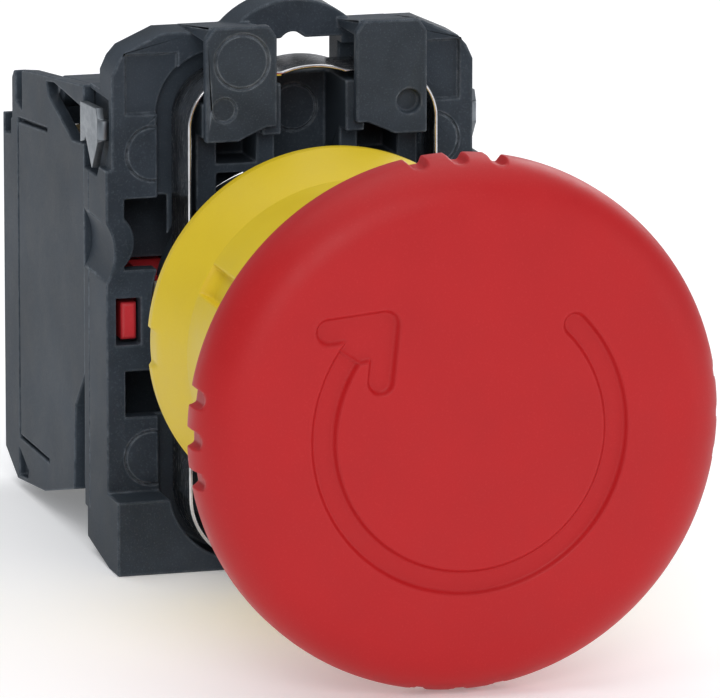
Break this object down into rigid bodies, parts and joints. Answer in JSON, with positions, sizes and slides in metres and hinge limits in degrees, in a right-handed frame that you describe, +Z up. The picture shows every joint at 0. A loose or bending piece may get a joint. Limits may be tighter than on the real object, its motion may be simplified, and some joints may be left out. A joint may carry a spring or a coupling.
{
  "type": "emergency stop button",
  "caption": "Red mushroom-head emergency stop button, turn to release, with a yellow bezel, a black panel fixing collar and two clip-on contact blocks.",
  "frame": {"origin": "on the push axis, in the plane where the gasket seats on the front of the panel", "axes": "+Y along the push axis from the operator's side to the back of the panel, +Z up, +X to the operator's right"},
  "size_m": [0.04, 0.0819, 0.0442],
  "materials": {
    "red_plastic": "fine satin moulding",
    "yellow_plastic": "satin moulding",
    "black_plastic": "matte glass-filled moulding",
    "white_plastic": "natural acetal",
    "signal_red_plastic": "satin moulding",
    "signal_green_plastic": "satin moulding",
    "seal_rubber": "matte",
    "stainless_strip": "brushed strip, polished edges",
    "spring_steel": "drawn wire",
    "zinc_steel": "zinc plated",
    "contact_brass": "pressed strip"
  },
  "bodies": {
    "base": {"operator_body": "black_plastic", "bezel_ring": "yellow_plastic", "lip_seal": "seal_rubber", "panel_gasket": "seal_rubber", "trip_spring": "spring_steel", "fixing_collar": "black_plastic", "side_clip_left": "stainless_strip", "side_clip_right": "stainless_strip", "nc_housing": "black_plastic", "nc_cover": "black_plastic", "nc_terminals": "contact_brass", "nc_terminal_screws": "zinc_steel", "nc_clamp_plates": "zinc_steel", "nc_plunger_spring": "spring_steel", "no_housing": "black_plastic", "no_cover": "black_plastic", "no_terminals": "contact_brass", "no_terminal_screws": "zinc_steel", "no_clamp_plates": "zinc_steel", "no_plunger_spring": "spring_steel"},
    "carriage": {"spindle": "zinc_steel", "retaining_ring": "spring_steel", "latch_carrier": "white_plastic", "latch_pawls": "zinc_steel", "drive_plate": "white_plastic", "twist_spring": "spring_steel"},
    "head": {"mushroom_cap": "red_plastic", "twist_hub": "black_plastic"},
    "nc_slider": {"nc_plunger": "signal_red_plastic", "nc_bridge": "contact_brass"},
    "no_slider": {"no_plunger": "signal_green_plastic", "no_bridge": "contact_brass"},
    "bail": {"locking_bail": "stainless_strip"},
    "screw": {"clamp_screw": "zinc_steel"},
    "pad": {"clamp_pad": "zinc_steel"}
  },
  "joints": [
    {"name": "head_push", "type": "slide", "parent": "base", "child": "carriage", "axis": [0, 1, 0], "range_m": [0, 0.0055], "deforming": ["trip_spring", "nc_plunger_spring", "no_plunger_spring"]},
    {"name": "head_twist", "type": "hinge", "parent": "carriage", "child": "head", "pos_m": [0, 0, 0], "axis": [0, 1, 0], "range_deg": [0, 40], "stiffness_Nm_per_rad": 0.05, "deforming": ["twist_spring"]},
    {"name": "nc_travel", "type": "slide", "parent": "base", "child": "nc_slider", "axis": [0, 1, 0], "range_m": [0, 0.0055]},
    {"name": "no_travel", "type": "slide", "parent": "base", "child": "no_slider", "axis": [0, 1, 0], "range_m": [0, 0.0055]},
    {"name": "bail_lift", "type": "slide", "parent": "base", "child": "bail", "axis": [0, 0, 1], "range_m": [0, 0.002]},
    {"name": "clamp_turn", "type": "hinge", "parent": "base", "child": "screw", "pos_m": [0, 0, -0.01305], "axis": [0, 1, 0], "range_deg": [0, 2160]},
    {"name": "clamp_travel", "type": "slide", "parent": "base", "child": "pad", "axis": [0, -1, 0], "range_m": [0, 0.0024]}
  ],
  "couplings": [
    {"joint": "nc_travel", "follows": "head_push", "ratio": 1},
    {"joint": "no_travel", "follows": "head_push", "ratio": 1},
    {"joint": "clamp_turn", "follows": "clamp_travel", "rad_per_m": 15708}
  ]
}
